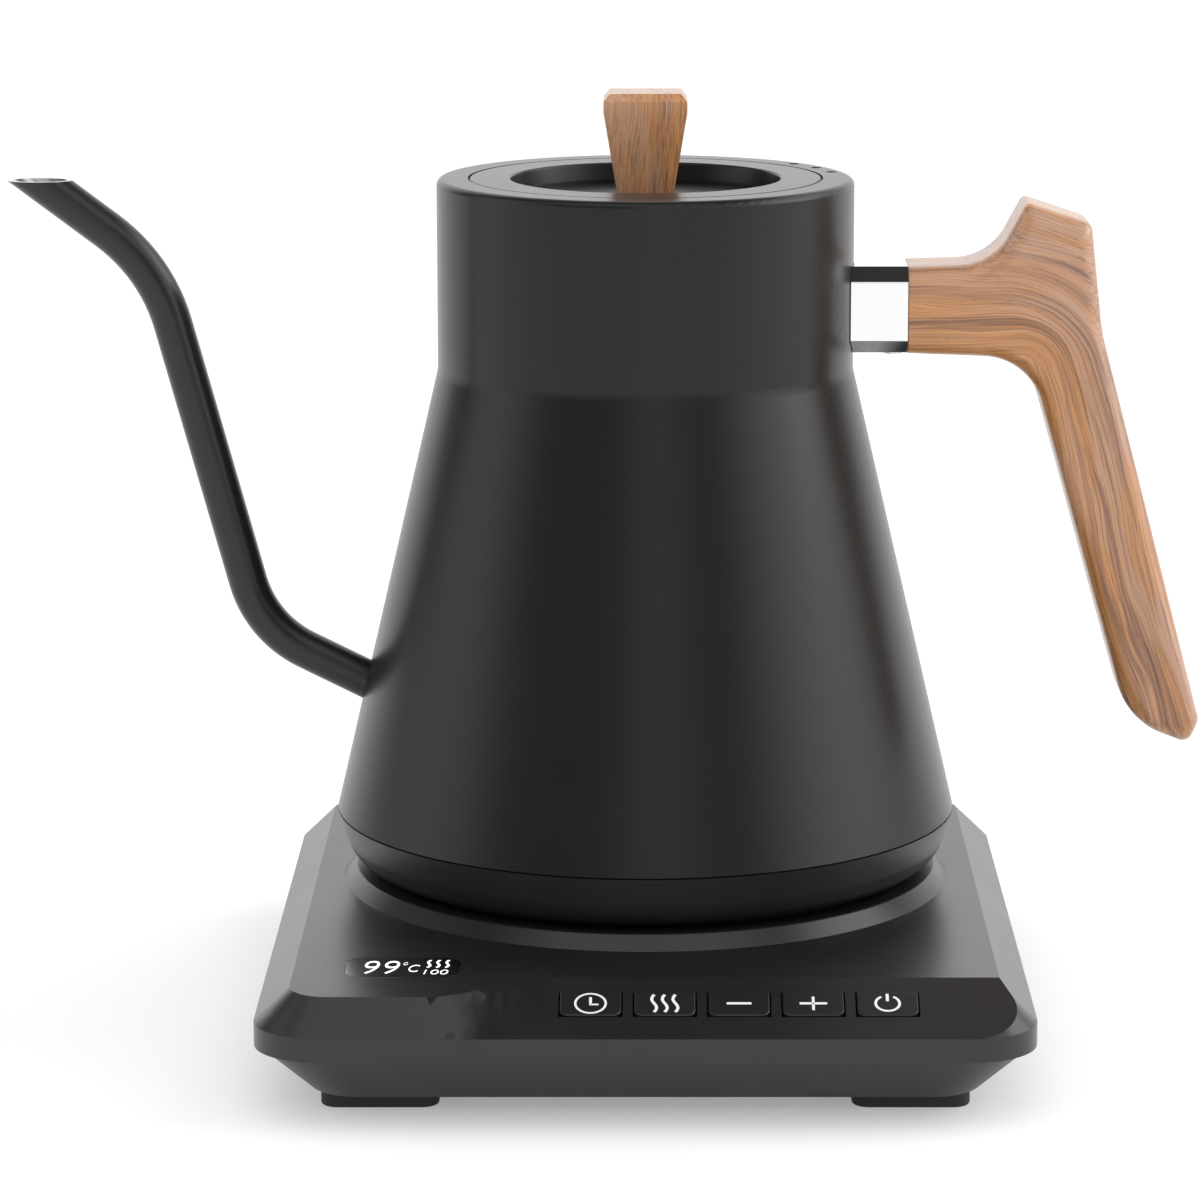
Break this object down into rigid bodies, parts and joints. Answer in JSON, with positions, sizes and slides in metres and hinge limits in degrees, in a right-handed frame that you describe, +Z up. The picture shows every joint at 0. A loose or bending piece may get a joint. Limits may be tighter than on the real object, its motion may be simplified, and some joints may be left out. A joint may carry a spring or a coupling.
{
  "type": "electric gooseneck kettle",
  "caption": "Cordless gooseneck kettle with a tapered body, lift-off lid and side handle, on a heated base with a display and a sloped row of push keys.",
  "frame": {"origin": "point on the table under the kettle's swivel axis", "axes": "+Z up, -X towards the spout, +X towards the handle, -Y towards the key panel"},
  "size_m": [0.2872, 0.2144, 0.2214],
  "materials": {
    "base_plastic": "fine textured black moulding",
    "tray_plastic": "fine textured black moulding",
    "foot_rubber": "dull black rubber",
    "plug_plastic": "satin black moulding",
    "contact_brass": "bright brass",
    "window_gloss": "polished black window",
    "module_plastic": "white light box",
    "key_plastic": "satin black moulding",
    "plunger_plastic": "pale moulding",
    "board_green": "solder-masked laminate",
    "switch_metal": "black switch bodies",
    "relay_blue": "sealed relay case",
    "capacitor_yellow": "film capacitor case",
    "buzzer_black": "black case",
    "screw_zinc": "zinc plated",
    "clamp_plastic": "natural nylon",
    "gland_rubber": "black rubber",
    "body_paint": "matte black powder coat outside, bare steel inside",
    "spout_paint": "matte black powder coat outside, bare steel inside",
    "inner_steel": "satin stainless steel",
    "plate_aluminium": "cast, as machined",
    "element_sheath": "heat tinted sheath",
    "probe_steel": "polished steel",
    "seal_silicone": "translucent white silicone",
    "cutout_case": "ceramic case",
    "cover_plastic": "black moulding",
    "ferrule_chrome": "polished",
    "bracket_steel": "plain steel",
    "grip_wood": "oiled teak",
    "lid_paint": "satin black coat"
  },
  "bodies": {
    "base": {"base_top_cover": "base_plastic", "base_bottom_tray": "tray_plastic", "base_feet": "foot_rubber", "base_socket": "plug_plastic", "socket_contacts": "contact_brass", "display_window": "window_gloss", "display_module": "module_plastic", "control_board": "board_green", "key_switches": "switch_metal", "power_board": "board_green", "relay": "relay_blue", "filter_capacitor": "capacitor_yellow", "buzzer": "buzzer_black", "board_screws": "screw_zinc", "cord_gland": "gland_rubber", "cord_clamp": "clamp_plastic", "cord_clamp_screws": "screw_zinc", "base_screws": "screw_zinc"},
    "coupler": {"coupler_housing": "plug_plastic", "coupler_contacts": "contact_brass"},
    "kettle": {"body_shell": "body_paint", "lid_seat_ring": "inner_steel", "spout": "spout_paint", "vessel_floor": "inner_steel", "heat_plate": "plate_aluminium", "heating_element": "element_sheath", "ntc_probe": "probe_steel", "probe_seal": "seal_silicone", "thermal_cutout": "cutout_case", "bottom_gasket": "seal_silicone", "kettle_bottom_cover": "cover_plastic", "bottom_cover_screws": "screw_zinc", "ferrule": "ferrule_chrome", "handle_bracket": "bracket_steel", "handle_screw": "screw_zinc", "handle_grip": "grip_wood"},
    "lid": {"lid_cover": "lid_paint", "lid_inner": "inner_steel", "lid_gasket": "seal_silicone", "knob": "grip_wood", "knob_screw": "screw_zinc", "knob_washer": "screw_zinc"},
    "key_timer": {"key_timer": "key_plastic", "key_timer_plunger": "plunger_plastic"},
    "key_heat": {"key_heat": "key_plastic", "key_heat_plunger": "plunger_plastic"},
    "key_minus": {"key_minus": "key_plastic", "key_minus_plunger": "plunger_plastic"},
    "key_plus": {"key_plus": "key_plastic", "key_plus_plunger": "plunger_plastic"},
    "key_power": {"key_power": "key_plastic", "key_power_plunger": "plunger_plastic"}
  },
  "joints": [
    {"name": "kettle_lift", "type": "slide", "parent": "base", "child": "coupler", "axis": [0, 0, 1], "range_m": [0, 0.12]},
    {"name": "kettle_swivel", "type": "hinge", "parent": "coupler", "child": "kettle", "pos_m": [0, 0, 0.04], "axis": [0, 0, 1], "continuous": true},
    {"name": "lid_lift", "type": "slide", "parent": "kettle", "child": "lid", "axis": [0, 0, 1], "range_m": [0, 0.06]},
    {"name": "key_timer_press", "type": "hinge", "parent": "base", "child": "key_timer", "pos_m": [-0.0124, -0.10067, 0.02736], "axis": [1, 0, 0], "range_deg": [0, 3], "stiffness_Nm_per_rad": 0.16},
    {"name": "key_heat_press", "type": "hinge", "parent": "base", "child": "key_heat", "pos_m": [0.00435, -0.10067, 0.02736], "axis": [1, 0, 0], "range_deg": [0, 3], "stiffness_Nm_per_rad": 0.16},
    {"name": "key_minus_press", "type": "hinge", "parent": "base", "child": "key_minus", "pos_m": [0.0211, -0.10067, 0.02736], "axis": [1, 0, 0], "range_deg": [0, 3], "stiffness_Nm_per_rad": 0.16},
    {"name": "key_plus_press", "type": "hinge", "parent": "base", "child": "key_plus", "pos_m": [0.03785, -0.10067, 0.02736], "axis": [1, 0, 0], "range_deg": [0, 3], "stiffness_Nm_per_rad": 0.16},
    {"name": "key_power_press", "type": "hinge", "parent": "base", "child": "key_power", "pos_m": [0.0546, -0.10067, 0.02736], "axis": [1, 0, 0], "range_deg": [0, 3], "stiffness_Nm_per_rad": 0.16}
  ]
}
